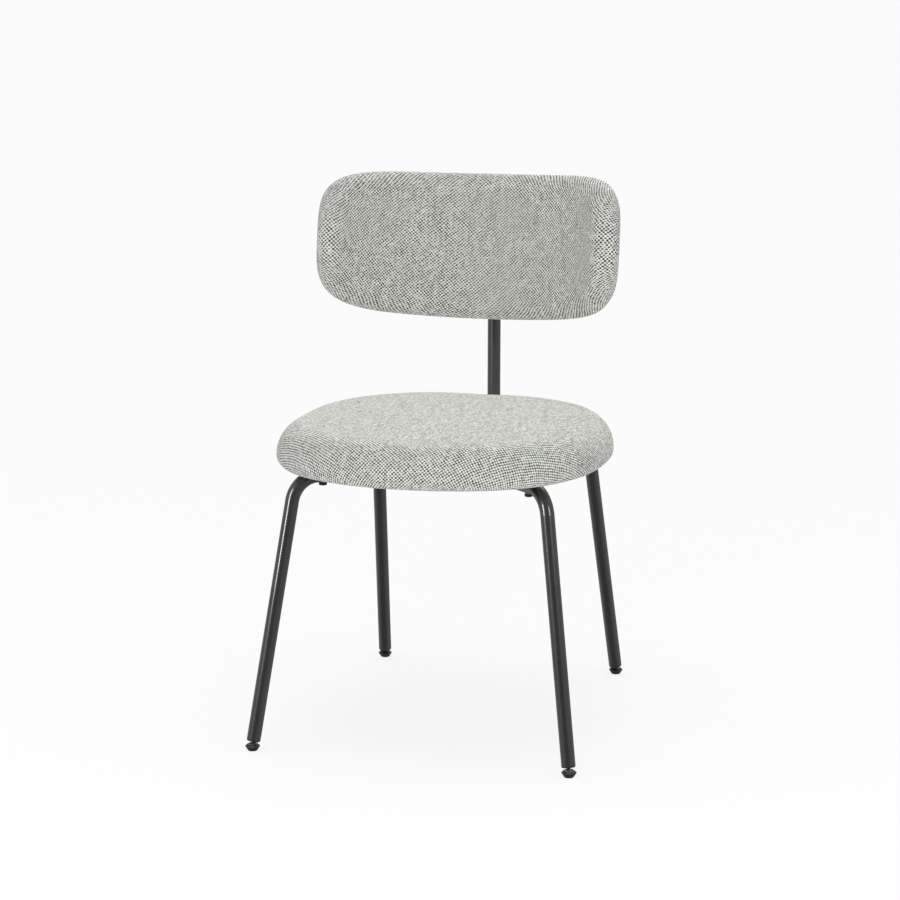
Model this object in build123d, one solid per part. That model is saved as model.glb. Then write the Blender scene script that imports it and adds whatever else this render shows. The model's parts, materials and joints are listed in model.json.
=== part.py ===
from build123d import *
import os
from math import atan2, cos, pi, radians, sin, sqrt

os.makedirs("parts", exist_ok=True)

# Upholstered dining chair. Millimetres, +Z up, the chair faces -Y, X = 0 is its plane of symmetry.
# Design positions put the middle of the seat at X = Y = 0. The written parts are shifted along Y,
# so that their origin is on the floor, under the middle of the chair's overall box.

# ---------------------------------------------------------------- driving dimensions

# Seat cushion
seat_half_width = 241
seat_half_depth = 252
seat_plan_power = 2.4          # 2 is an ellipse, higher is squarer
seat_underside_z = 400         # face that the frame's tubes press on
seat_thickness = 65            # underside to the highest point of the crowned top
seat_crown = 11                # fall of the dome from the middle to the outline
seat_rim_radius = 37           # rounding of the top edge
seat_heel_radius = 10.5        # rounding of the bottom edge
cover_thickness = 2
dust_cover_thickness = 1
seat_board_thickness = 12
seat_board_inset = 16          # board edge inside the cushion's outline
cover_margin = 35              # width of cover folded under the board
dust_cover_inset = 40          # dust cover edge inside the cushion's outline

# Backrest
backrest_half_arc = 283        # half of its length along the curve, at mid thickness
backrest_half_height = 112
backrest_thickness = 45
backrest_bend_radius = 229.5   # plan radius at mid thickness
backrest_corner_radius = 82
backrest_edge_radius = 19
backrest_rise = 219            # seat's top to the middle of the backrest
backrest_set_in = 11           # mid thickness in front of the seat's rear edge
backrest_tilt = 9.4            # degrees, top to the rear
shell_thickness = 9
shell_inset = 24               # plywood edge inside the backrest's edge
shell_front_offset = 4         # plywood's front face behind mid thickness

# Tube frame
tube_diameter = 20
tube_wall = 1.5
bend_radius = 40
front_setback_x = 59           # seat's edge in to where the leg's line meets the arm's line
front_setback_y = 104
front_splay_x = 50             # from there out to the foot
front_splay_y = 57
rear_setback_x = 74
rear_setback_y = 42
rear_splay_x = 24
rear_splay_y = 117
hub_y = 30
hub_wall = 3
hub_weld_room = 4.6            # hub's face beyond where the two closest tubes would meet

# Backrest bracket on the post
bracket_thickness = 3
bracket_half_width = 55
bracket_half_height = 36
bracket_corner_radius = 10
bracket_web_width = 12
post_gap = 1                   # between the post and the bracket's plate, at the plate's top
post_overrun = 6               # post above the bracket's plate

# Fasteners: M6 bolts and tee nuts
bolt_diameter = 6
bolt_hole_diameter = 6.6
bolt_head_diameter = 12
bolt_head_height = 4.5
hex_across_flats = 4
hex_depth = 2.5
t_nut_flange_diameter = 19
t_nut_flange_thickness = 1.5
t_nut_barrel_diameter = 8
t_nut_barrel_length = 8
t_nut_bore_diameter = 6.1
arm_bolt_past_bend = 3         # bolt beyond a square bend's end, along the arm
post_bolt_past_bend = 35
bracket_screw_half_spacing_arc = 38
bracket_screw_half_spacing_z = 20

# Staples
staple_count = 40
staple_width = 10
staple_wire = 0.8
staple_leg = 6
staple_inset = 31              # staple line inside the cushion's outline

# Glides
ball_radius = 5
ball_clearance = 0.06
ball_height = 6.5              # ball centre above the floor
foot_bottom_radius = 6.5
foot_widest_radius = 10.75
foot_widest_z = 6.5
foot_top_radius = 7
foot_top_z = 10
socket_lip = 2                 # how far the socket closes above the ball's centre
plug_gap = 7                   # ball centre to the plug's face
plug_flange = 2.5
plug_rounding = 2
plug_barrel = 14
stud_neck_radius = 2.5
cap_flange = 2
cap_barrel = 12

# ---------------------------------------------------------------- derived dimensions

tube_radius = tube_diameter / 2
bore_radius = tube_radius - tube_wall
arm_z = seat_underside_z - tube_radius
seat_top_z = seat_underside_z + seat_thickness
cover_bottom_z = seat_underside_z + dust_cover_thickness
board_bottom_z = cover_bottom_z + cover_thickness
board_top_z = board_bottom_z + seat_board_thickness
foam_top_z = seat_top_z - cover_thickness
seat_wall = seat_top_z - seat_crown - cover_bottom_z
rim_radius = min(seat_rim_radius, 0.7 * seat_wall)
heel_radius = min(seat_heel_radius, 0.2 * seat_wall)

backrest_z = seat_top_z + backrest_rise
half_thickness = backrest_thickness / 2
edge_radius = min(backrest_edge_radius, 0.9 * half_thickness)
backrest_y = seat_half_depth - backrest_set_in
tilt = radians(backrest_tilt)
plate_face = half_thickness + bracket_thickness
post_y = (
    backrest_y + plate_face * cos(tilt) + bracket_half_height * sin(tilt) + post_gap + tube_radius
)
post_top_z = (
    backrest_z + (bracket_half_height + post_overrun) * cos(tilt) - half_thickness * sin(tilt)
)

front_bend_x = seat_half_width - front_setback_x
front_bend_y = front_setback_y - seat_half_depth
front_foot_x = front_bend_x + front_splay_x
front_foot_y = front_bend_y - front_splay_y
rear_bend_x = seat_half_width - rear_setback_x
rear_bend_y = seat_half_depth - rear_setback_y
rear_foot_x = rear_bend_x + rear_splay_x
rear_foot_y = rear_bend_y + rear_splay_y
closest_tubes = atan2(rear_bend_x, rear_bend_y - hub_y)    # angle between the post and a rear arm
hub_radius = tube_radius / sin(closest_tubes / 2) + hub_weld_room

front_reach = max(seat_half_depth, foot_widest_radius - front_foot_y)
rear_reach = max(rear_foot_y + foot_widest_radius, post_y + tube_radius)
middle_y = (rear_reach - front_reach) / 2

hub_point = Vector(0, hub_y, arm_z)
post_bend = Vector(0, post_y, arm_z)
corners = {
    "front_left": (-front_foot_x, front_foot_y, -front_bend_x, front_bend_y),
    "front_right": (front_foot_x, front_foot_y, front_bend_x, front_bend_y),
    "rear_left": (-rear_foot_x, rear_foot_y, -rear_bend_x, rear_bend_y),
    "rear_right": (rear_foot_x, rear_foot_y, rear_bend_x, rear_bend_y),
}


def ball_point(corner):
    foot_x, foot_y, _, _ = corners[corner]
    return Vector(foot_x, foot_y, ball_height)


def bend_point(corner):
    _, _, bend_x, bend_y = corners[corner]
    return Vector(bend_x, bend_y, arm_z)


def leg_direction(corner):
    return (bend_point(corner) - ball_point(corner)).normalized()


def seat_bolt_points():
    points = []
    for corner in corners:
        inward = (hub_point - bend_point(corner)).normalized()
        points.append(bend_point(corner) + inward * (bend_radius + arm_bolt_past_bend))
    points.append(post_bend - Vector(0, bend_radius + post_bolt_past_bend, 0))
    return points


# ---------------------------------------------------------------- seat

def plan_point(angle, inset):
    half_width = seat_half_width - inset
    half_depth = seat_half_depth - inset
    across = abs(cos(angle) / half_width) ** seat_plan_power
    along = abs(sin(angle) / half_depth) ** seat_plan_power
    reach = (across + along) ** (-1 / seat_plan_power)
    return (reach * cos(angle), reach * sin(angle))


def plan_prism(inset, bottom_z, top_z):
    count = 48
    points = [plan_point(2 * pi * i / count, inset) for i in range(count)]
    outline = make_face(Spline(*points, periodic=True))
    return Pos(0, 0, bottom_z) * extrude(outline, top_z - bottom_z)


def cushion(inset, bottom_z, top_z):
    """Domed cushion with rounded rims, inset from the outside of the cover."""
    dome_radius = (seat_half_depth**2 + seat_crown**2) / (2 * seat_crown)
    dome = Pos(0, 0, top_z - dome_radius) * Rot(90, 0, 0) * Sphere(dome_radius)
    blank = plan_prism(inset, bottom_z, top_z + 1) & dome
    rim = blank.edges().sort_by(SortBy.LENGTH)[-2:].sort_by(Axis.Z)[-1]
    blank = fillet(rim, rim_radius - inset)
    heel = blank.edges().group_by(Axis.Z)[0].sort_by(SortBy.LENGTH)[-1]
    return fillet(heel, heel_radius - inset)


def bolt_clearances(diameter, bottom_z, top_z):
    radius = diameter / 2
    length = top_z - bottom_z
    middle = (top_z + bottom_z) / 2
    return [Pos(p.X, p.Y, middle) * Cylinder(radius, length) for p in seat_bolt_points()]


def make_seat_cover():
    inside = cushion(cover_thickness, board_bottom_z, foam_top_z)
    opening_inset = seat_board_inset + cover_margin
    opening = plan_prism(opening_inset, cover_bottom_z - 1, board_bottom_z + 1)
    cover = cushion(0, cover_bottom_z, seat_top_z) - inside - opening
    return cover - bolt_clearances(bolt_hole_diameter, cover_bottom_z - 1, board_bottom_z + 1)


def make_seat_board():
    board = plan_prism(seat_board_inset, board_bottom_z, board_top_z)
    return board - bolt_clearances(t_nut_barrel_diameter, board_bottom_z - 1, board_top_z + 1)


def make_seat_foam():
    foam = cushion(cover_thickness, board_bottom_z, foam_top_z)
    foam = foam - plan_prism(seat_board_inset, board_bottom_z - 1, board_top_z)
    flange_top = board_top_z + t_nut_flange_thickness
    return foam - bolt_clearances(t_nut_flange_diameter, board_top_z - 1, flange_top)


def make_dust_cover():
    sheet = plan_prism(dust_cover_inset, seat_underside_z, cover_bottom_z)
    return sheet - bolt_clearances(bolt_hole_diameter, seat_underside_z - 1, cover_bottom_z + 1)


def t_nut():
    """Tee nut with its flange on the plane Z = 0 and its barrel below."""
    flange = Pos(0, 0, t_nut_flange_thickness / 2)
    flange = flange * Cylinder(t_nut_flange_diameter / 2, t_nut_flange_thickness)
    barrel = Pos(0, 0, -t_nut_barrel_length / 2)
    barrel = barrel * Cylinder(t_nut_barrel_diameter / 2, t_nut_barrel_length)
    bore = Cylinder(t_nut_bore_diameter / 2, 3 * t_nut_barrel_length)
    return flange + barrel - bore


def bolt(length):
    """Button-head bolt: the head's seat is on the plane Z = 0, the shank runs up."""
    head = Pos(0, 0, -bolt_head_height / 2)
    head = head * Cylinder(bolt_head_diameter / 2, bolt_head_height)
    outer_edge = head.edges().group_by(Axis.Z)[0]
    head = fillet(outer_edge, 0.4 * bolt_head_height)
    shank = Pos(0, 0, length / 2) * Cylinder(bolt_diameter / 2, length)
    socket = extrude(RegularPolygon(hex_across_flats / 2, 6, major_radius=False), hex_depth)
    return head + shank - Pos(0, 0, -bolt_head_height) * socket


def make_seat_bolts():
    seat_z = arm_z - tube_radius
    length = board_top_z + t_nut_flange_thickness - seat_z
    return [Pos(p.X, p.Y, seat_z) * bolt(length) for p in seat_bolt_points()]


def make_seat_t_nuts():
    return [Pos(p.X, p.Y, board_top_z) * t_nut() for p in seat_bolt_points()]


def staple():
    """Staple whose crown is at the bottom and whose legs point up."""
    crown = Pos(0, 0, staple_wire / 2) * Box(staple_width, staple_wire, staple_wire)
    offset = (staple_width - staple_wire) / 2
    leg = Pos(0, 0, staple_leg / 2) * Box(staple_wire, staple_wire, staple_leg)
    return crown + Pos(-offset, 0, 0) * leg + Pos(offset, 0, 0) * leg


def make_seat_staples():
    staples = []
    for i in range(staple_count):
        angle = 360 * (i + 0.5) / staple_count
        x, y = plan_point(radians(angle), staple_inset)
        staples.append(Pos(x, y, cover_bottom_z) * Rot(0, 0, angle + 90) * staple())
    return staples


# ---------------------------------------------------------------- frame

def bent_tube(start, bend, end):
    path = FilletPolyline(start, bend, end, radius=bend_radius)
    section = Plane(origin=path @ 0, z_dir=path % 0)
    outside = sweep(section * Circle(tube_radius), path=path)
    inside = sweep(section * Circle(bore_radius), path=path)
    return outside - inside


def at_hub(shape):
    return Pos(hub_point.X, hub_point.Y, hub_point.Z) * shape


def bolt_holes():
    return bolt_clearances(bolt_hole_diameter, arm_z - 2 * tube_radius, arm_z + 2 * tube_radius)


def make_leg(corner):
    end = ball_point(corner) + leg_direction(corner) * (plug_gap + plug_flange)
    tube = bent_tube(hub_point, bend_point(corner), end)
    return tube - at_hub(Cylinder(hub_radius, 3 * tube_diameter)) - bolt_holes()


def make_back_post():
    tube = bent_tube(hub_point, post_bend, Vector(0, post_y, post_top_z))
    return tube - at_hub(Cylinder(hub_radius, 3 * tube_diameter)) - bolt_holes()


def make_hub_ring():
    return at_hub(Cylinder(hub_radius, tube_diameter) - Cylinder(hub_radius - hub_wall, tube_diameter))


def make_post_cap():
    flange = Cylinder(tube_radius, cap_flange, align=(Align.CENTER, Align.CENTER, Align.MIN))
    rim = flange.edges().group_by(Axis.Z)[-1]
    flange = fillet(rim, 0.6 * cap_flange)
    barrel = Cylinder(bore_radius, cap_barrel, align=(Align.CENTER, Align.CENTER, Align.MAX))
    return Pos(0, post_y, post_top_z) * (flange + barrel)


# ---------------------------------------------------------------- backrest

def place_backrest(shape):
    """From the backrest's own frame: origin at its middle, Y to the rear, Z up along the tilt."""
    return Pos(0, backrest_y, backrest_z) * Rot(-backrest_tilt, 0, 0) * shape


def arc_block(front, rear, inset, rounding):
    """Curved block between two offsets from mid thickness, with rounded corners and edges."""
    spread = (backrest_half_arc - inset) / backrest_bend_radius * 180 / pi
    centre = (0, -backrest_bend_radius)
    outer_radius = backrest_bend_radius + rear
    inner_radius = backrest_bend_radius + front
    outer = CenterArc(centre, outer_radius, 90 - spread, 2 * spread)
    inner = CenterArc(centre, inner_radius, 90 - spread, 2 * spread)
    ends = [Line(inner @ 0, outer @ 0), Line(inner @ 1, outer @ 1)]
    height = backrest_half_height - inset
    block = extrude(make_face([outer, inner, *ends]), height, both=True)
    corner_edges = block.edges().filter_by(GeomType.LINE).filter_by(Axis.Z, reverse=True)
    block = fillet(corner_edges, min(backrest_corner_radius - inset, 0.8 * height))
    if rounding:
        rims = [edge for edge in block.edges() if abs(edge.length - (rear - front)) > 0.01]
        block = fillet(rims, rounding)
    return block


def around_arc(shape, arc, height):
    """Turn a shape about the backrest's centre of curvature and raise it."""
    angle = -arc / backrest_bend_radius * 180 / pi
    centre = Pos(0, -backrest_bend_radius, 0)
    return centre * Rot(0, 0, angle) * Pos(0, backrest_bend_radius, height) * shape


def screw_points():
    arc = bracket_screw_half_spacing_arc
    height = bracket_screw_half_spacing_z
    return [(-arc, -height), (-arc, height), (arc, -height), (arc, height)]


def screw_clearances(diameter, front, rear):
    length = rear - front
    along_y = Pos(0, (front + rear) / 2, 0) * Rot(90, 0, 0) * Cylinder(diameter / 2, length)
    return [around_arc(along_y, arc, height) for arc, height in screw_points()]


def backrest_t_nuts_local():
    nut = Pos(0, shell_front_offset, 0) * Rot(90, 0, 0) * t_nut()
    return [around_arc(nut, arc, height) for arc, height in screw_points()]


def backrest_inside():
    inner = half_thickness - cover_thickness
    return arc_block(-inner, inner, cover_thickness, edge_radius - cover_thickness)


def make_backrest_cover():
    block = arc_block(-half_thickness, half_thickness, 0, edge_radius) - backrest_inside()
    holes = screw_clearances(bolt_hole_diameter, half_thickness / 2, 2 * half_thickness)
    return place_backrest(block - holes)


def shell_block():
    rear = shell_front_offset + shell_thickness
    return arc_block(shell_front_offset, rear, shell_inset, 0)


def t_nut_pockets():
    flange_front = shell_front_offset - t_nut_flange_thickness
    return screw_clearances(t_nut_flange_diameter, flange_front, shell_front_offset)


def make_backrest_shell():
    rear = shell_front_offset + shell_thickness
    holes = screw_clearances(t_nut_barrel_diameter, shell_front_offset - 1, rear + 1)
    return place_backrest(shell_block() - holes - t_nut_pockets())


def behind_shell_face():
    """Everything behind the cylinder of the shell's front face."""
    face_radius = backrest_bend_radius + shell_front_offset
    height = 4 * backrest_half_height
    size = 8 * backrest_bend_radius
    return Box(size, size, height) - Pos(0, -backrest_bend_radius, 0) * Cylinder(face_radius, height)


def make_backrest_front_foam():
    foam = backrest_inside() - behind_shell_face()
    return place_backrest(foam - t_nut_pockets())


def make_backrest_rear_foam():
    foam = backrest_inside() & behind_shell_face()
    holes = screw_clearances(bolt_hole_diameter, shell_front_offset, 2 * half_thickness)
    return place_backrest(foam - shell_block() - holes)


def make_backrest_bracket():
    outer_radius = backrest_bend_radius + plate_face
    inner_radius = backrest_bend_radius + half_thickness
    ring = Cylinder(outer_radius, 2 * bracket_half_height + 2)
    ring = ring - Cylinder(inner_radius, 2 * bracket_half_height + 4)
    ring = Pos(0, -backrest_bend_radius, 0) * ring
    outline = RectangleRounded(
        2 * bracket_half_width, 2 * bracket_half_height, bracket_corner_radius
    )
    window = Rot(90, 0, 0) * extrude(outline, -2 * half_thickness)
    plate = place_backrest((ring & window) - screw_clearances(bolt_hole_diameter, 0, 2 * plate_face))
    return plate + make_bracket_web()


def make_bracket_web():
    """Wedge between the plate and the post, coped round the post."""
    top = place_backrest(Vertex(0, plate_face - 1, bracket_half_height - 2)).center()
    bottom = place_backrest(Vertex(0, plate_face - 1, -bracket_half_height + 2)).center()
    outline = Polyline(
        (0, top.Y, top.Z), (0, post_y, top.Z), (0, post_y, bottom.Z), (0, bottom.Y, bottom.Z),
        close=True,
    )
    web = extrude(make_face(outline), bracket_web_width / 2, both=True, dir=(1, 0, 0))
    return web - Pos(0, post_y, backrest_z) * Cylinder(tube_radius, 4 * bracket_half_height)


def make_backrest_screws():
    length = plate_face - shell_front_offset + t_nut_flange_thickness
    screw = Pos(0, plate_face, 0) * Rot(90, 0, 0) * bolt(length)
    return [place_backrest(around_arc(screw, arc, height)) for arc, height in screw_points()]


def make_backrest_t_nuts():
    return [place_backrest(nut) for nut in backrest_t_nuts_local()]


# ---------------------------------------------------------------- glides

def make_glide_foot(corner):
    """Double-cone foot with a ball socket, flat on the floor."""
    profile = Polyline(
        (0, 0),
        (foot_bottom_radius, 0),
        (foot_widest_radius, foot_widest_z),
        (foot_top_radius, foot_top_z),
        (0, foot_top_z),
        close=True,
    )
    foot = revolve(Plane.XZ * make_face(profile), Axis.Z)
    socket_radius = ball_radius + ball_clearance
    mouth_radius = sqrt(socket_radius**2 - socket_lip**2)
    mouth_height = foot_top_z - ball_height - socket_lip
    mouth = Cone(
        mouth_radius, mouth_radius + 0.4 * mouth_height, mouth_height,
        align=(Align.CENTER, Align.CENTER, Align.MIN),
    )
    foot = foot - Pos(0, 0, ball_height) * Sphere(socket_radius)
    foot = foot - Pos(0, 0, ball_height + socket_lip) * mouth
    where = ball_point(corner)
    return Pos(where.X, where.Y, 0) * foot


def make_glide_plug(corner):
    """Plug in the tube's end with a ball stud, built on the leg's own axis."""
    ball = Sphere(ball_radius)
    upwards = (Align.CENTER, Align.CENTER, Align.MIN)
    neck = Cylinder(stud_neck_radius, plug_gap + 1, align=upwards)
    flange = Pos(0, 0, plug_gap) * Cylinder(tube_radius, plug_flange, align=upwards)
    flange = fillet(flange.edges().group_by(Axis.Z)[0], plug_rounding)
    barrel = Pos(0, 0, plug_gap) * Cylinder(bore_radius, plug_flange + plug_barrel, align=upwards)
    return Plane(origin=ball_point(corner), z_dir=leg_direction(corner)) * (
        ball + neck + flange + barrel
    )


# ---------------------------------------------------------------- assembly

def all_parts():
    parts = {
        "seat_cover": make_seat_cover(),
        "seat_foam": make_seat_foam(),
        "seat_board": make_seat_board(),
        "seat_dust_cover": make_dust_cover(),
        "seat_t_nuts": make_seat_t_nuts(),
        "seat_bolts": make_seat_bolts(),
        "seat_staples": make_seat_staples(),
        "hub_ring": make_hub_ring(),
        "back_post": make_back_post(),
        "post_cap": make_post_cap(),
        "backrest_cover": make_backrest_cover(),
        "backrest_front_foam": make_backrest_front_foam(),
        "backrest_rear_foam": make_backrest_rear_foam(),
        "backrest_shell": make_backrest_shell(),
        "backrest_bracket": make_backrest_bracket(),
        "backrest_screws": make_backrest_screws(),
        "backrest_t_nuts": make_backrest_t_nuts(),
    }
    for corner in corners:
        parts[corner + "_leg"] = make_leg(corner)
        parts[corner + "_glide_plug"] = make_glide_plug(corner)
        parts[corner + "_glide_foot"] = make_glide_foot(corner)
    return parts


def solids_of(shape):
    if isinstance(shape, list):
        return [solid for item in shape for solid in item.solids()]
    return shape.solids()


for name, shape in all_parts().items():
    to_origin = Pos(0, -middle_y, 0)
    placed = [to_origin * solid for solid in solids_of(shape)]
    export_step(placed[0] if len(placed) == 1 else Compound(children=placed), f"parts/{name}.step")
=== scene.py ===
import json
from math import cos, pi, radians, sin

import bpy
import numpy as np
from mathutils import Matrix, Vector


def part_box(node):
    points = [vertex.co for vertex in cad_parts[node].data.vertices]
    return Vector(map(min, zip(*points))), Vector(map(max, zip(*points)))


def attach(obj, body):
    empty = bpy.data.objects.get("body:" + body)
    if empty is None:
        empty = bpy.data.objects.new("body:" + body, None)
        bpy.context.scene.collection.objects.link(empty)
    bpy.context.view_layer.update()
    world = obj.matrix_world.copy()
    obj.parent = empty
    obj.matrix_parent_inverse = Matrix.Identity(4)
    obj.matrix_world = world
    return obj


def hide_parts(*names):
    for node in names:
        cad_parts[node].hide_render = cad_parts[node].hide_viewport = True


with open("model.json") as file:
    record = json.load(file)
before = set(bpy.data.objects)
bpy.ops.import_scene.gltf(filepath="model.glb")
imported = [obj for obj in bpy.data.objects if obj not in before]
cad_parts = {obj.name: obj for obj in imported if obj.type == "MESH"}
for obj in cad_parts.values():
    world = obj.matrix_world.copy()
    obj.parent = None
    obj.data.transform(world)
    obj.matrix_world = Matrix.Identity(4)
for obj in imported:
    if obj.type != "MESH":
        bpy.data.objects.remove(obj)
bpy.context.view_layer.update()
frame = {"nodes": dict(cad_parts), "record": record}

# Dining chair, in metres. The chair faces -Y and X = 0 is its plane of symmetry.

# Seat cushion
SEAT_PLAN_POWER = 2.4          # 2 is an ellipse, higher is squarer
SEAT_RIM_INSET = 0.040         # width of the rounded rim, seen from above
SEAT_HEEL_INSET = 0.013        # how far the cover turns in below the widest line
SEAT_HEEL_HEIGHT = 0.0145      # underside up to the widest line
SEAT_CROWN = 0.009             # rise of the dome above the rim
SEAT_CROWN_POWER = 1.5         # higher flattens the dome towards the rim
SEAT_PUFF = 0.0055             # how far the stuffed cover stands above its cut size
SEAT_SIM_INSET = 0.0010        # the cover starts this much smaller, and swells
SEAT_SWELL_LIMIT = 0.0022
SEAT_PRESSURE = 3.0
SEAT_HELD_FROM = 0.86          # share of the way round the rim, from where the cover is held
SEAT_GRID = (64, 64)
SEAT_RINGS = 18

# Backrest cushion
BACK_PLAN_POWER = 4.0
BACK_HALF_ARC = 0.283          # half of its length along the curve, at mid thickness
BACK_HALF_HEIGHT = 0.112
BACK_HALF_THICKNESS = 0.0225
BACK_BEND_RADIUS = 0.2295
BACK_EDGE_INSET = 0.0215
BACK_TILT = radians(9.4)
BACK_SET_IN = 0.011            # mid thickness in front of the seat's rear edge
BACK_HEIGHT_Z = 0.684
BACK_SIM_INSET = 0.0010
BACK_SWELL_LIMIT = 0.0025
BACK_PRESSURE = 2.5
BACK_WEAVE_SLANT = radians(3)
BACK_GRID = (84, 34)
BACK_RINGS = 14
REAR_WEAVE_SHIFT = 0.61        # metres along the cloth, so the rear panel is another piece of it
SEAM_TURN = 11 / BACK_RINGS    # the rear panel's seam, as a share of the way round the edge
SEAM_DEPTH = 0.0014

SIM_FRAMES = 20
SWELL_SMOOTHING = 40           # rounds of averaging
RIM_STEPS = 64                 # steps that measure the cloth round a rim

# Studio. A sun's number is the brightness that it gives a white surface facing it. The others are
# the brightness of the floor's own glow, of a light's face, or of the surroundings.
FLOOR_GREY = 0.22
FLOOR_GLOW = 0.695
FLOOR_HALF = 400.0             # metres
OVERHEAD = 0.20
BACK_LIGHT = 0.80
SIDE_FILL = 0.55
FRONT_FILL = 2.5
LEFT_STRIP = 18
RIGHT_STRIP = 16
WORLD_BASE = 0.25
WORLD_SIDES = 0.30
WORLD_ABOVE = 0.30

# Camera
CAMERA_AZIMUTH = radians(15.1)
CAMERA_ELEVATION = radians(10.96)
CAMERA_DISTANCE = 3.72
CAMERA_AIM_Z = 0.408
CAMERA_ROLL = radians(0.08)
CAMERA_LENS = 102.1            # millimetres, on a 36 mm sensor
CAMERA_SHIFT = (0.0039, 0.0032)

seat_low, seat_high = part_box("seat_cover")
seat_centre_y = (seat_low.y + seat_high.y) / 2
seat_half_width = (seat_high.x - seat_low.x) / 2
seat_half_depth = (seat_high.y - seat_low.y) / 2


# ---------------------------------------------------------------- node helpers

class Nodes:
    """Short calls for building a material's node tree."""

    def __init__(self, name):
        self.material = bpy.data.materials.new(name)
        self.material.use_nodes = True
        self.tree = self.material.node_tree
        self.shader = self.tree.nodes["Principled BSDF"]

    def add(self, kind, **settings):
        node = self.tree.nodes.new(kind)
        for key, value in settings.items():
            setattr(node, key, value)
        return node

    def link(self, source, target):
        self.tree.links.new(source, target)

    def feed(self, socket, value):
        if isinstance(value, bpy.types.NodeSocket):
            self.link(value, socket)
        else:
            socket.default_value = value

    def math(self, operation, first, second=0.0, clamp=False):
        node = self.add("ShaderNodeMath", operation=operation, use_clamp=clamp)
        self.feed(node.inputs[0], first)
        self.feed(node.inputs[1], second)
        return node.outputs[0]

    def scaled(self, vector, factor):
        node = self.add("ShaderNodeVectorMath", operation="SCALE")
        self.feed(node.inputs[0], vector)
        node.inputs["Scale"].default_value = factor
        return node.outputs[0]

    def vector_math(self, operation, first, second):
        node = self.add("ShaderNodeVectorMath", operation=operation)
        self.feed(node.inputs[0], first)
        self.feed(node.inputs[1], second)
        return node.outputs[0]

    def remap(self, value, low, high, to_low=0.0, to_high=1.0):
        node = self.add("ShaderNodeMapRange", interpolation_type="SMOOTHSTEP")
        for index, entry in enumerate((value, low, high, to_low, to_high)):
            self.feed(node.inputs[index], entry)
        return node.outputs[0]

    def mix(self, factor, first, second):
        node = self.add("ShaderNodeMix", data_type="RGBA")
        self.feed(node.inputs["Factor"], factor)
        self.feed(node.inputs[6], first)
        self.feed(node.inputs[7], second)
        return node.outputs[2]

    def mix_value(self, factor, first, second):
        node = self.add("ShaderNodeMix")
        self.feed(node.inputs[0], factor)
        self.feed(node.inputs[2], first)
        self.feed(node.inputs[3], second)
        return node.outputs[0]

    def noise(self, vector, scale, detail=2.0, roughness=0.5):
        node = self.add("ShaderNodeTexNoise")
        self.feed(node.inputs["Vector"], vector)
        node.inputs["Scale"].default_value = scale
        node.inputs["Detail"].default_value = detail
        node.inputs["Roughness"].default_value = roughness
        return node

    def bump(self, height, distance, strength):
        node = self.add("ShaderNodeBump")
        node.inputs["Strength"].default_value = strength
        node.inputs["Distance"].default_value = distance
        self.feed(node.inputs["Height"], height)
        return node.outputs[0]

    def set(self, **values):
        for key, value in values.items():
            self.feed(self.shader.inputs[key.replace("_", " ")], value)
        return self.material


# ---------------------------------------------------------------- materials

YARN_ACROSS = 0.00280          # yarn spacing, metres
YARN_ALONG = 0.00252
YARN_DRIFT = 0.0040            # slow wander of the yarns, metres
YARN_WOBBLE = 0.0017           # short wander
YARN_ROUNDNESS = 3.9           # 4 is a full half circle from one side of a yarn to the other
PLY_TURNS = 2.0                # turns of the plies in one yarn spacing
PLY_LEAN = 1.6

# Heights in the cloth, in yarn radii
YARN_WAVE = 0.55               # rise and fall of a yarn over its neighbours
YARN_EDGE = 0.12               # softness of the line between two yarns
WARP_LIFT = 0.20               # how much prouder the light yarns lie
STREAKS = 1.1                  # long thick and thin stretches of the light yarns
SLUBS = 1.3                    # short ones
CHANCE_LIFT = 0.70             # random rise or fall of a light yarn at each crossing
CHANCE_MIDDLE = 0.40           # the random number, of 0 to 1, that gives neither

LIGHT_YARN = (0.84, 0.855, 0.80, 1)
# The light yarn's colour with painted shade in it, for its ply grooves and the hollows between
# yarns
LIGHT_YARN_PAINTED_SHADE = (0.60, 0.615, 0.565, 1)
DARK_YARN = (0.040, 0.043, 0.040, 1)
DARK_YARN_FLECK = (0.26, 0.27, 0.25, 1)


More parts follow.
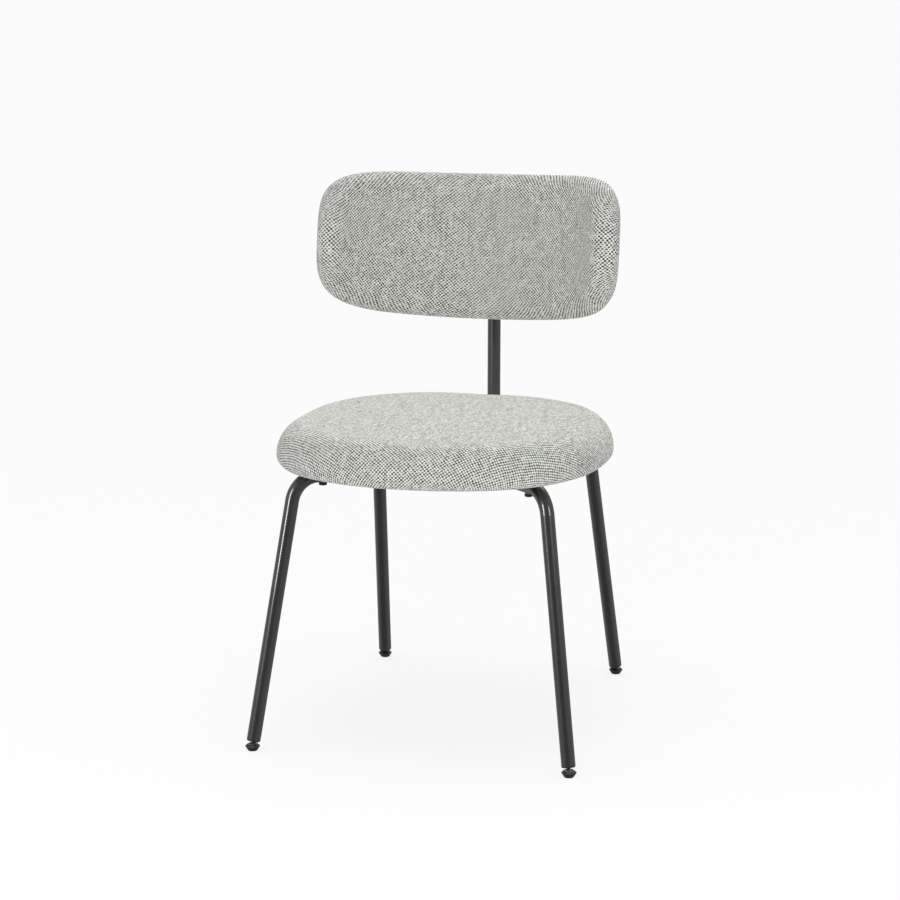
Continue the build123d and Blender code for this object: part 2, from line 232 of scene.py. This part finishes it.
def woven_fabric():
    """Chunky plain weave: light yarns run up the cloth and charcoal yarns run across it."""
    n = Nodes("woven_fabric")
    place = n.add("ShaderNodeUVMap", uv_map="weave").outputs[0]
    drift = n.scaled(n.noise(place, 42.0, 2.0).outputs["Color"], YARN_DRIFT)
    wobble = n.scaled(n.noise(place, 260.0, 1.0).outputs["Color"], YARN_WOBBLE)
    cloth = n.vector_math("ADD", place, n.vector_math("ADD", drift, wobble))
    split = n.add("ShaderNodeSeparateXYZ")
    n.link(cloth, split.inputs[0])
    across = n.math("DIVIDE", split.outputs[0], YARN_ACROSS)
    along = n.math("DIVIDE", split.outputs[1], YARN_ALONG)
    column = n.math("FLOOR", across)
    row = n.math("FLOOR", along)

    # A random number for each crossing of two yarns
    cell = n.add("ShaderNodeCombineXYZ")
    n.link(column, cell.inputs[0])
    n.link(row, cell.inputs[1])
    chance = n.add("ShaderNodeTexWhiteNoise", noise_dimensions="2D")
    n.link(cell.outputs[0], chance.inputs["Vector"])
    luck = chance.outputs["Value"]

    # Each yarn is a round cord that rises over one neighbour and dips under the next
    def cord(position, fraction, other_line, sign):
        offset = n.math("SUBTRACT", n.math("FRACT", position), 0.5)
        fall = n.math("MULTIPLY", n.math("MULTIPLY", offset, offset), YARN_ROUNDNESS)
        section = n.math("SQRT", n.math("SUBTRACT", 1.0, fall))
        wave = n.math("SINE", n.math("MULTIPLY", n.math("ADD", fraction, other_line), pi))
        return n.math("ADD", section, n.math("MULTIPLY", wave, sign * YARN_WAVE))

    slub = n.math("SUBTRACT", n.noise(place, 150.0, 2.0).outputs["Fac"], 0.5)
    warp = n.math("ADD", cord(across, along, column, 1), n.math("MULTIPLY", slub, SLUBS))
    lift = n.math("MULTIPLY", n.math("SUBTRACT", luck, CHANCE_MIDDLE), CHANCE_LIFT)
    warp = n.math("ADD", warp, lift)
    warp = n.math("ADD", warp, WARP_LIFT)

    # Thick and thin stretches of the light yarns make faint streaks up the cloth
    stretched = n.vector_math("MULTIPLY", cloth, (1.0, 0.11, 1.0))
    streak = n.math("SUBTRACT", n.noise(stretched, 290.0, 1.0).outputs["Fac"], 0.5)
    warp = n.math("ADD", warp, n.math("MULTIPLY", streak, STREAKS))
    weft = cord(along, across, row, -1)
    over = n.math("SUBTRACT", warp, weft)
    light_on_top = n.remap(over, -YARN_EDGE, YARN_EDGE)
    height = n.math("MAXIMUM", warp, weft)

    # Plies twist round each yarn, and fibres follow them. The light yarns' colour is mixed towards
    # a darker copy by painted shade in the grooves between plies and in the hollows between yarns.
    # It is also darker where the fine fibre noise, which raises the bump too, is low
    def twist(along_yarn, across_yarn):
        turned = n.math("MULTIPLY", along_yarn, PLY_TURNS)
        wind = n.math("ADD", turned, n.math("MULTIPLY", across_yarn, PLY_LEAN))
        return n.math("SINE", n.math("MULTIPLY", wind, 2 * pi))

    warp_twist = twist(along, across)
    weft_twist = twist(across, along)
    fibre = n.noise(cloth, 4200.0, 3.0, 0.65).outputs["Fac"]
    ply = n.mix_value(light_on_top, weft_twist, warp_twist)
    # Painted shade: the light yarns darken where the weave's height is low, in the hollows between
    # yarns
    painted_hollow_shade = n.remap(height, 0.35, 1.15, 1.0, 0.0)

    # Mask towards the darker copy: painted shade in the ply grooves and hollows, plus darkening
    # where the fibre noise is low
    painted_shade_and_fibre_darkening = n.math("MULTIPLY", n.remap(ply, -0.2, -1.0), 0.25)
    painted_shade_and_fibre_darkening = n.math("ADD", painted_shade_and_fibre_darkening, n.math("MULTIPLY", n.remap(fibre, 0.55, 0.35), 0.35))
    painted_shade_and_fibre_darkening = n.math("ADD", painted_shade_and_fibre_darkening, n.math("MULTIPLY", painted_hollow_shade, 0.75), clamp=True)
    light = n.mix(painted_shade_and_fibre_darkening, LIGHT_YARN, LIGHT_YARN_PAINTED_SHADE)
    fleck = n.math("MULTIPLY", n.remap(luck, 0.55, 1.0), n.remap(fibre, 0.38, 0.58, 0.35, 1.0))
    dark = n.mix(fleck, DARK_YARN, DARK_YARN_FLECK)
    colour = n.mix(light_on_top, dark, light)

    relief = n.math("ADD", height, n.math("MULTIPLY", ply, 0.07))
    relief = n.math("ADD", relief, n.math("MULTIPLY", fibre, 0.22))
    return n.set(
        Base_Color=colour, Roughness=0.95, Specular_IOR_Level=0.04,
        Normal=n.bump(relief, 0.0005, 0.75),
    )


def powder_coat():
    """Anthracite powder coat: a satin skin with a faint orange peel."""
    n = Nodes("powder_coat")
    place = n.add("ShaderNodeTexCoord").outputs["Object"]
    peel = n.noise(place, 900.0, 2.0)
    patches = n.noise(place, 14.0, 3.0)
    tint = n.remap(patches.outputs["Fac"], 0.3, 0.7)
    colour = n.mix(tint, (0.0070, 0.0074, 0.0060, 1), (0.0105, 0.0109, 0.0092, 1))
    rough = n.remap(n.noise(place, 60.0, 3.0).outputs["Fac"], 0.3, 0.7, 0.30, 0.36)
    return n.set(
        Base_Color=colour, Roughness=rough, Specular_IOR_Level=0.5,
        Coat_Weight=1.0, Coat_Roughness=0.10,
        Normal=n.bump(peel.outputs["Fac"], 0.00006, 0.3),
    )


def moulded_plastic():
    """Black moulded plastic with a fine spark-eroded grain and rubbed patches."""
    n = Nodes("moulded_plastic")
    place = n.add("ShaderNodeTexCoord").outputs["Object"]
    grain = n.noise(place, 2200.0, 2.0)
    rub = n.noise(place, 160.0, 4.0)
    colour = n.mix(
        n.remap(rub.outputs["Fac"], 0.5, 0.75),
        (0.010, 0.010, 0.010, 1), (0.022, 0.022, 0.021, 1),
    )
    rough = n.remap(rub.outputs["Fac"], 0.3, 0.7, 0.36, 0.5)
    return n.set(
        Base_Color=colour, Roughness=rough, Normal=n.bump(grain.outputs["Fac"], 0.00005, 0.4)
    )


def black_oxide():
    """Blackened steel with faint stains."""
    n = Nodes("black_oxide")
    place = n.add("ShaderNodeTexCoord").outputs["Object"]
    stain = n.noise(place, 320.0, 4.0)
    colour = n.mix(
        n.remap(stain.outputs["Fac"], 0.35, 0.7),
        (0.012, 0.012, 0.013, 1), (0.030, 0.029, 0.028, 1),
    )
    rough = n.remap(stain.outputs["Fac"], 0.3, 0.7, 0.30, 0.46)
    return n.set(Base_Color=colour, Metallic=0.6, Roughness=rough)


def zinc_plate():
    """Bright zinc plate with a fine spangle."""
    n = Nodes("zinc_plate")
    place = n.add("ShaderNodeTexCoord").outputs["Object"]
    spangle = n.add("ShaderNodeTexVoronoi")
    n.link(place, spangle.inputs["Vector"])
    spangle.inputs["Scale"].default_value = 500.0
    colour = n.mix(spangle.outputs["Distance"], (0.62, 0.63, 0.65, 1), (0.48, 0.49, 0.50, 1))
    rough = n.remap(n.noise(place, 700.0).outputs["Fac"], 0.3, 0.7, 0.24, 0.42)
    return n.set(Base_Color=colour, Metallic=1.0, Roughness=rough)


VENEER = 0.0024                # thickness of one veneer, metres


def birch_plywood():
    """Pale veneer faces with long grain, and darker glue lines on the edge."""
    n = Nodes("birch_plywood")
    place = n.add("ShaderNodeTexCoord").outputs["Object"]
    stretch = n.add("ShaderNodeMapping")
    stretch.inputs["Scale"].default_value = (1.0, 0.06, 1.0)
    n.link(place, stretch.inputs["Vector"])
    grain = n.noise(stretch.outputs[0], 260.0, 5.0, 0.6)
    wood = n.mix(
        n.remap(grain.outputs["Fac"], 0.3, 0.7),
        (0.66, 0.49, 0.31, 1), (0.50, 0.34, 0.19, 1),
    )
    split = n.add("ShaderNodeSeparateXYZ")
    n.link(place, split.inputs[0])
    plies = n.math("SINE", n.math("MULTIPLY", split.outputs[2], 2 * pi / VENEER))
    glue = n.remap(plies, 0.8, 1.0, 0.0, 0.5)
    colour = n.mix(glue, wood, (0.22, 0.13, 0.07, 1))
    return n.set(
        Base_Color=colour, Roughness=0.62, Normal=n.bump(grain.outputs["Fac"], 0.0002, 0.5)
    )


def seat_foam():
    """Yellowish open-cell foam, with painted shade in the pit of each cell."""
    n = Nodes("seat_foam")
    place = n.add("ShaderNodeTexCoord").outputs["Object"]
    cells = n.add("ShaderNodeTexVoronoi")
    n.link(place, cells.inputs["Vector"])
    cells.inputs["Scale"].default_value = 900.0
    # Painted shade: the colour darkens towards the middle of each cell, where the bump makes a pit
    colour = n.mix(cells.outputs["Distance"], (0.58, 0.50, 0.30, 1), (0.78, 0.71, 0.50, 1))
    return n.set(
        Base_Color=colour, Roughness=0.95, Normal=n.bump(cells.outputs["Distance"], 0.0005, 0.8)
    )


BOND_SPACING = 0.0022          # diagonal rows of bond points on the dust cloth, metres


def dust_cloth():
    """Black non-woven cloth with an embossed diamond pattern of bond points."""
    n = Nodes("dust_cloth")
    place = n.add("ShaderNodeTexCoord").outputs["Object"]
    split = n.add("ShaderNodeSeparateXYZ")
    n.link(place, split.inputs[0])

    def rows(operation):
        diagonal = n.math(operation, split.outputs[0], split.outputs[1])
        return n.math("SINE", n.math("MULTIPLY", diagonal, 2 * pi / BOND_SPACING))

    bonds = n.remap(n.math("MULTIPLY", rows("ADD"), rows("SUBTRACT")), 0.45, 0.8)
    fibres = n.noise(place, 1500.0, 4.0, 0.7)
    colour = n.mix(
        n.remap(fibres.outputs["Fac"], 0.3, 0.7),
        (0.012, 0.012, 0.013, 1), (0.036, 0.036, 0.038, 1),
    )
    height = n.math("SUBTRACT", fibres.outputs["Fac"], n.math("MULTIPLY", bonds, 0.6))
    return n.set(
        Base_Color=colour, Roughness=0.88, Sheen_Weight=0.1, Normal=n.bump(height, 0.0003, 0.8)
    )


# ---------------------------------------------------------------- padded covers

def squircle(u, v, power):
    """Points of the square -1..1 moved onto nested superellipses of the same size, and how far out
    each one lies, from 0 in the middle to 1 at the edge."""
    reach = np.maximum(np.abs(u), np.abs(v))
    size = (np.abs(u) ** power + np.abs(v) ** power) ** (1 / power)
    share = np.divide(reach, size, out=np.zeros_like(reach), where=size > 1e-9)
    return u * share, v * share, reach


def pillow_layout(columns, rows, rings):
    """A closed box of quads: a top grid, a band of rings, and a bottom grid.

    Returns u, v and turn for each corner, and the faces. turn is 0 on the top and 1 on the bottom.
    """
    u_line = np.linspace(-1, 1, columns + 1)
    v_line = np.linspace(-1, 1, rows + 1)
    grid_u, grid_v = np.meshgrid(u_line, v_line, indexing="ij")
    grid_count = grid_u.size

    def grid_index(i, j):
        return i * (rows + 1) + j

    border = [(i, 0) for i in range(columns)]
    border += [(columns, j) for j in range(rows)]
    border += [(i, rows) for i in range(columns, 0, -1)]
    border += [(0, j) for j in range(rows, 0, -1)]
    border_index = np.array([grid_index(i, j) for i, j in border])
    around = len(border)

    u = [grid_u.ravel()]
    v = [grid_v.ravel()]
    turn = [np.zeros(grid_count)]
    for ring in range(1, rings):
        u.append(grid_u.ravel()[border_index])
        v.append(grid_v.ravel()[border_index])
        turn.append(np.full(around, ring / rings))
    u.append(grid_u.ravel())
    v.append(grid_v.ravel())
    turn.append(np.ones(grid_count))

    bottom_start = grid_count + (rings - 1) * around
    ring_rows = [border_index]
    ring_rows += [grid_count + k * around + np.arange(around) for k in range(rings - 1)]
    ring_rows += [bottom_start + border_index]

    faces = []
    for i in range(columns):
        for j in range(rows):
            a, b = grid_index(i, j), grid_index(i + 1, j)
            c, d = grid_index(i + 1, j + 1), grid_index(i, j + 1)
            faces.append((a, b, c, d))
            faces.append(tuple(bottom_start + corner for corner in (d, c, b, a)))
    for upper, lower in zip(ring_rows, ring_rows[1:]):
        for k in range(around):
            after = (k + 1) % around
            faces.append((upper[after], upper[k], lower[k], lower[after]))
    return np.concatenate(u), np.concatenate(v), np.concatenate(turn), faces


def rim_profile(turn, upper, lower):
    """Inset and height of a rounded edge. upper and lower are its (inset, height) above and below
    the widest line, and turn runs from 0 at the top to 1 at the bottom."""
    angle = pi / 2 - pi * turn
    above = angle > 0
    inset = np.where(above, upper[0], lower[0]) * (1 - np.cos(angle))
    height = np.where(above, upper[1], lower[1]) * np.sin(angle)
    return inset, height


def rim_lengths(upper, lower):
    """Cloth length down the edge's profile, for evenly spaced turns."""
    turns = np.linspace(0, 1, RIM_STEPS + 1)
    inset, height = rim_profile(turns, upper, lower)
    step = np.hypot(np.diff(inset), np.diff(height))
    return turns, np.concatenate([[0], np.cumsum(step)])


def new_piece(name, points, faces):
    mesh = bpy.data.meshes.new(name)
    corners = [tuple(int(number) for number in face) for face in faces]
    mesh.from_pydata([tuple(point) for point in points], [], corners)
    mesh.validate()
    mesh.update()
    piece = bpy.data.objects.new(name, mesh)
    bpy.context.scene.collection.objects.link(piece)
    mesh.polygons.foreach_set("use_smooth", [True] * len(mesh.polygons))
    return piece


def weave_map(piece, places):
    """Lay the weave: places(face corners' vertex numbers, face numbers) gives metres of cloth."""
    mesh = piece.data
    layer = mesh.uv_layers.new(name="weave")
    vertex = np.zeros(len(mesh.loops), int)
    mesh.loops.foreach_get("vertex_index", vertex)
    face = np.repeat(np.arange(len(mesh.polygons)), [len(p.vertices) for p in mesh.polygons])
    layer.data.foreach_set("uv", places(vertex, face).astype(np.float32).ravel())


def seat_points(u, v, turn, inset):
    """Surface points and weave places of the seat, for the pillow layout's u, v and turn."""
    # The tangents space the points more evenly round the rim
    x, y, reach = squircle(np.tan(u * pi / 4), np.tan(v * pi / 4), SEAT_PLAN_POWER)
    widest = seat_low.z + SEAT_HEEL_HEIGHT
    upper = (SEAT_RIM_INSET, seat_high.z + SEAT_PUFF - SEAT_CROWN - widest - inset)
    lower = (SEAT_HEEL_INSET, SEAT_HEEL_HEIGHT)
    tuck, up = rim_profile(turn, upper, lower)
    dome = SEAT_CROWN * (1 - np.minimum(reach, 1) ** 2) ** SEAT_CROWN_POWER
    points = np.stack([
        x * (seat_half_width - inset - tuck),
        y * (seat_half_depth - inset - tuck) + seat_centre_y,
        widest + up + np.where(turn == 0, dome, 0),
    ], axis=1)

    # The cloth lies flat on top, and carries on outwards down the rim and under the seat
    length = np.interp(turn, *rim_lengths(upper, lower))
    flat = np.stack([
        x * (seat_half_width - SEAT_RIM_INSET),
        y * (seat_half_depth - SEAT_RIM_INSET),
    ], axis=1)
    radius = np.linalg.norm(flat, axis=1)
    edge = np.divide(radius, reach, out=np.ones_like(radius), where=reach > 1e-6)
    spread = np.where(turn == 1, edge * (2 - reach), radius) + length
    return points, flat / np.maximum(radius, 1e-6)[:, None] * spread[:, None]


def back_place(local):
    """From the flat backrest (along the arc, up, outwards) to its place on the chair."""
    along, up, out = local.T
    angle = along / BACK_BEND_RADIUS
    x = (BACK_BEND_RADIUS + out) * np.sin(angle)
    y = (BACK_BEND_RADIUS + out) * np.cos(angle) - BACK_BEND_RADIUS
    back_y = seat_high.y - BACK_SET_IN
    return np.stack([
        x,
        y * cos(BACK_TILT) + up * sin(BACK_TILT) + back_y,
        -y * sin(BACK_TILT) + up * cos(BACK_TILT) + BACK_HEIGHT_Z,
    ], axis=1)


def back_points(u, v, turn, inset):
    """Flat points and weave places of the backrest. The layout's top is the sitter's side."""
    x, y, reach = squircle(u, v, BACK_PLAN_POWER)
    half = (BACK_EDGE_INSET, BACK_HALF_THICKNESS - inset)
    tuck, out = rim_profile(turn, half, half)
    groove = np.where(np.isclose(turn, SEAM_TURN), SEAM_DEPTH, 0)
    tuck += groove * np.sin(pi * SEAM_TURN)
    out -= groove * np.cos(pi * SEAM_TURN)
    local = np.stack([
        x * (BACK_HALF_ARC - inset - tuck),
        y * (BACK_HALF_HEIGHT - inset - tuck),
        -out,
    ], axis=1)

    turns, lengths = rim_lengths(half, half)
    length = np.interp(turn, turns, lengths)[:, None]
    flat_arc = BACK_HALF_ARC - BACK_EDGE_INSET
    flat_height = BACK_HALF_HEIGHT - BACK_EDGE_INSET
    flat = np.stack([x * flat_arc, y * flat_height], axis=1)
    power = BACK_PLAN_POWER - 1
    facing = np.stack([
        np.sign(x) * np.abs(x) ** power / flat_arc,
        np.sign(y) * np.abs(y) ** power / flat_height,
    ], axis=1)
    facing /= np.maximum(np.linalg.norm(facing, axis=1), 1e-9)[:, None]

    # The sitter's side lies inside the bend and the rear side outside it
    squeeze = BACK_HALF_THICKNESS / BACK_BEND_RADIUS
    front = (flat + facing * length) * (1 - squeeze, 1)
    rear = (flat + facing * (lengths[-1] - length)) * (1 + squeeze, 1)
    turned = np.array([[cos(BACK_WEAVE_SLANT), sin(BACK_WEAVE_SLANT)],
                       [-sin(BACK_WEAVE_SLANT), cos(BACK_WEAVE_SLANT)]])
    return local, front @ turned, rear @ turned


def even_out(piece, moved, rounds):
    """Average each point's movement with its neighbours', so no ripple is left in the outline."""
    edges = np.zeros(len(piece.data.edges) * 2, int)
    piece.data.edges.foreach_get("vertices", edges)
    first, second = edges.reshape(-1, 2).T
    neighbours = np.bincount(np.concatenate([first, second]), minlength=len(moved))
    for _ in range(rounds):
        total = np.zeros_like(moved)
        np.add.at(total, first, moved[second])
        np.add.at(total, second, moved[first])
        moved = (moved + total / neighbours[:, None]) / 2
    return moved


def swell(piece, pinned, pressure, limit):
    """Blow the cover up as cloth under pressure, and keep each point near where it began."""
    group = piece.vertex_groups.new(name="held")
    group.add([int(i) for i in np.nonzero(pinned)[0]], 1.0, "REPLACE")
    cloth = piece.modifiers.new("cover", "CLOTH")
    settings = cloth.settings
    settings.quality = 6
    settings.mass = 0.3
    settings.tension_stiffness = 20
    settings.compression_stiffness = 20
    settings.shear_stiffness = 8
    settings.bending_stiffness = 2
    settings.use_pressure = True
    settings.uniform_pressure_force = pressure
    settings.vertex_group_mass = group.name
    settings.effector_weights.gravity = 0
    cloth.collision_settings.use_collision = False
    cloth.collision_settings.use_self_collision = False
    scene = bpy.context.scene
    scene.frame_end = SIM_FRAMES
    cloth.point_cache.frame_end = SIM_FRAMES
    for number in range(1, SIM_FRAMES + 1):
        scene.frame_set(number)
    shaped = piece.evaluated_get(bpy.context.evaluated_depsgraph_get())
    count = len(piece.data.vertices) * 3
    before, after = np.zeros(count), np.zeros(count)
    piece.data.vertices.foreach_get("co", before)
    shaped.data.vertices.foreach_get("co", after)
    before, moved = before.reshape(-1, 3), (after - before).reshape(-1, 3)
    distance = np.linalg.norm(moved, axis=1)
    moved *= np.minimum(1, limit / np.maximum(distance, 1e-9))[:, None]
    moved = even_out(piece, moved, SWELL_SMOOTHING)
    piece.modifiers.remove(cloth)
    piece.vertex_groups.remove(group)
    piece.data.vertices.foreach_set("co", (before + moved).ravel())
    piece.data.update()


def smooth_finish(piece):
    smoother = piece.modifiers.new("smooth", "SUBSURF")
    smoother.levels = smoother.render_levels = 1


def make_seat_cushion(fabric):
    u, v, turn, faces = pillow_layout(*SEAT_GRID, SEAT_RINGS)
    points, cloth = seat_points(u, v, turn, SEAT_SIM_INSET)
    piece = new_piece("seat_cushion", points, faces)
    weave_map(piece, lambda vertex, face: cloth[vertex])
    swell(piece, turn > SEAT_HELD_FROM, SEAT_PRESSURE, SEAT_SWELL_LIMIT)
    smooth_finish(piece)
    piece.data.materials.append(fabric)
    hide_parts("seat_cover", "seat_foam")
    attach(piece, "chair")


def make_backrest_cushion(fabric):
    u, v, turn, faces = pillow_layout(*BACK_GRID, BACK_RINGS)
    local, front, rear = back_points(u, v, turn, BACK_SIM_INSET)
    piece = new_piece("backrest_cushion", back_place(local), faces)
    face_turn = np.array([turn[list(f)].mean() for f in faces])

    def places(vertex, face):
        on_rear = face_turn[face] > SEAM_TURN
        return np.where(on_rear[:, None], rear[vertex] + REAR_WEAVE_SHIFT, front[vertex])

    weave_map(piece, places)
    swell(piece, turn == 1, BACK_PRESSURE, BACK_SWELL_LIMIT)
    smooth_finish(piece)
    piece.data.materials.append(fabric)
    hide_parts("backrest_cover", "backrest_front_foam", "backrest_rear_foam")
    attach(piece, "chair")


# ---------------------------------------------------------------- studio

def make_floor():
    corners = ((-1, -1), (1, -1), (1, 1), (-1, 1))
    points = [(x * FLOOR_HALF, y * FLOOR_HALF, 0) for x, y in corners]
    floor = new_piece("studio_floor", points, [(0, 1, 2, 3)])
    n = Nodes("studio_floor")
    floor.data.materials.append(n.set(
        Base_Color=(FLOOR_GREY, FLOOR_GREY, FLOOR_GREY, 1), Roughness=1.0, Specular_IOR_Level=0.0,
        Emission_Color=(1.0, 0.993, 1.0, 1), Emission_Strength=FLOOR_GLOW,
    ))
    floor.visible_glossy = False


def area_light(name, azimuth, low, high, width, distance, radiance):
    """An upright strip facing the chair. Azimuth 0 is in front of it and 90 to its +X side."""
    data = bpy.data.lights.new(name, "AREA")
    data.shape = "RECTANGLE"
    data.size, data.size_y = width, high - low
    data.energy = radiance * pi * width * (high - low)
    light = bpy.data.objects.new(name, data)
    angle = radians(azimuth)
    light.location = (distance * sin(angle), -distance * cos(angle), (low + high) / 2)
    light.rotation_euler = (pi / 2, 0, angle)
    light.visible_camera = False
    bpy.context.scene.collection.objects.link(light)
    return light


def sun_light(name, tilt, spread, radiance):
    """A distant light, with its angles in degrees. At a tilt of 0 it shines straight down, and a
    positive tilt brings it in over the front."""
    data = bpy.data.lights.new(name, "SUN")
    data.energy = radiance * pi
    data.angle = radians(spread)
    light = bpy.data.objects.new(name, data)
    light.rotation_euler = (radians(tilt), 0, 0)
    bpy.context.scene.collection.objects.link(light)
    return light


def make_world():
    """Soft surroundings: dim in front and behind, brighter at both sides and above."""
    world = bpy.data.worlds.new("studio")
    bpy.context.scene.world = world
    world.use_nodes = True
    tree = world.node_tree
    background = tree.nodes["Background"]
    background.inputs["Color"].default_value = (1, 1, 1, 1)
    split = tree.nodes.new("ShaderNodeSeparateXYZ")
    tree.links.new(tree.nodes.new("ShaderNodeTexCoord").outputs["Generated"], split.inputs[0])

    def remap(value, low, high, to_high):
        node = tree.nodes.new("ShaderNodeMapRange")
        node.interpolation_type = "SMOOTHSTEP"
        tree.links.new(value, node.inputs["Value"])
        limits = {"From Min": low, "From Max": high, "To Min": 0, "To Max": to_high}
        for key, number in limits.items():
            node.inputs[key].default_value = number
        return node.outputs[0]

    def math(operation, first, second=0.0):
        node = tree.nodes.new("ShaderNodeMath")
        node.operation = operation
        for socket, value in zip(node.inputs, (first, second)):
            if isinstance(value, float):
                socket.default_value = value
            else:
                tree.links.new(value, socket)
        return node.outputs[0]

    sides = remap(math("ABSOLUTE", split.outputs[0]), low=0.35, high=0.95, to_high=WORLD_SIDES)
    above = remap(split.outputs[2], low=0.05, high=0.9, to_high=WORLD_ABOVE)
    total = math("ADD", math("ADD", sides, above), WORLD_BASE)
    tree.links.new(total, background.inputs["Strength"])


def make_lights():
    make_world()
    sun_light("overhead", tilt=6, spread=30, radiance=OVERHEAD)

    # Lifts the top of the seat, and casts no shadow of the backrest across it
    lift = sun_light("back_light", tilt=-52, spread=20, radiance=BACK_LIGHT)
    lift.data.use_shadow = False

    # Two narrow strips make the streaks on the tubes
    for strip in (
        area_light(
            "left_strip", azimuth=-35, low=0.36, high=2.2, width=0.55, distance=2.8,
            radiance=LEFT_STRIP,
        ),
        area_light(
            "right_strip", azimuth=55, low=0.85, high=2.0, width=0.34, distance=2.7,
            radiance=RIGHT_STRIP,
        ),
    ):
        strip.visible_diffuse = False

    # Three broad fills light the cloth
    for name, azimuth, radiance in (
        ("left_fill", -65, SIDE_FILL),
        ("right_fill", 65, SIDE_FILL),
        ("front_fill", 8, FRONT_FILL),
    ):
        fill = area_light(
            name, azimuth, low=0.4, high=2.0, width=1.6, distance=2.7, radiance=radiance
        )
        fill.visible_glossy = False


def make_camera():
    data = bpy.data.cameras.new("camera")
    data.sensor_width = 36
    data.lens = CAMERA_LENS
    data.shift_x, data.shift_y = CAMERA_SHIFT
    data.clip_end = 200
    camera = bpy.data.objects.new("camera", data)
    back = Vector((
        sin(CAMERA_AZIMUTH) * cos(CAMERA_ELEVATION),
        -cos(CAMERA_AZIMUTH) * cos(CAMERA_ELEVATION),
        sin(CAMERA_ELEVATION),
    ))
    aim = Vector((0, seat_centre_y, CAMERA_AIM_Z))
    camera.location = aim + back * CAMERA_DISTANCE
    turn = (-back).to_track_quat("-Z", "Y")
    camera.rotation_euler = turn.to_euler()
    camera.rotation_euler.rotate_axis("Z", CAMERA_ROLL)
    bpy.context.scene.collection.objects.link(camera)
    bpy.context.scene.camera = camera


def main():
    finishes = {
        "woven_fabric": woven_fabric(),
        "foam": seat_foam(),
        "plywood": birch_plywood(),
        "black_cloth": dust_cloth(),
        "zinc_steel": zinc_plate(),
        "black_steel": black_oxide(),
        "frame_paint": powder_coat(),
        "black_plastic": moulded_plastic(),
    }
    for part in frame["record"]["subparts"]:
        node = frame["nodes"][part["node"]]
        for material_slot in node.material_slots:
            material_slot.material = finishes[part["material_slot"]]
    make_seat_cushion(finishes["woven_fabric"])
    make_backrest_cushion(finishes["woven_fabric"])
    make_floor()
    make_lights()
    make_camera()
    bpy.context.scene.view_settings.view_transform = "Standard"


main()
